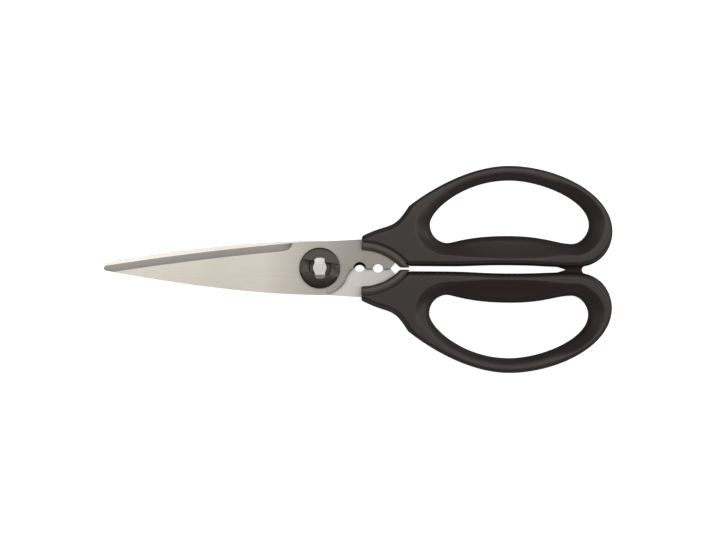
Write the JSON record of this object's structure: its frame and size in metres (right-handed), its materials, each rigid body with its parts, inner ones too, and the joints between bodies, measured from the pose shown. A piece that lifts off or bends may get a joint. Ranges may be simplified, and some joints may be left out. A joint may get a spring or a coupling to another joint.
{
  "type": "kitchen scissors",
  "caption": "Take-apart kitchen scissors with ground steel blades, a bayonet pivot, herb-stripping notches and black soft-grip finger bows",
  "frame": {"origin": "on the pivot axis, at the centre of the flat back of the pivot stud", "axes": "+X from the pivot to the finger bows, +Y to the upper bow, +Z from the rear blade to the front blade"},
  "size_m": [0.2217, 0.0904, 0.013],
  "materials": {
    "blade_steel": "fine lengthwise brushing, ground bevel",
    "stud_steel": "bright turned",
    "cap_plastic": "gloss black",
    "bush_plastic": "moulded",
    "core_plastic": "satin black",
    "grip_rubber": "soft satin black",
    "pad_rubber": "soft matt black"
  },
  "bodies": {
    "rear_half": {"rear_blade": "blade_steel", "pivot_stud": "stud_steel", "lower_handle_core": "core_plastic", "lower_handle_grip": "grip_rubber", "lower_stop_pad": "pad_rubber"},
    "front_half": {"front_blade": "blade_steel", "pivot_bush": "bush_plastic", "pivot_cap": "cap_plastic", "upper_handle_core": "core_plastic", "upper_handle_grip": "grip_rubber", "upper_stop_pad": "pad_rubber"}
  },
  "joints": [
    {"name": "blade_pivot", "type": "hinge", "parent": "rear_half", "child": "front_half", "pos_m": [0, 0, 0], "axis": [0, 0, 1], "range_deg": [0, 100]}
  ]
}
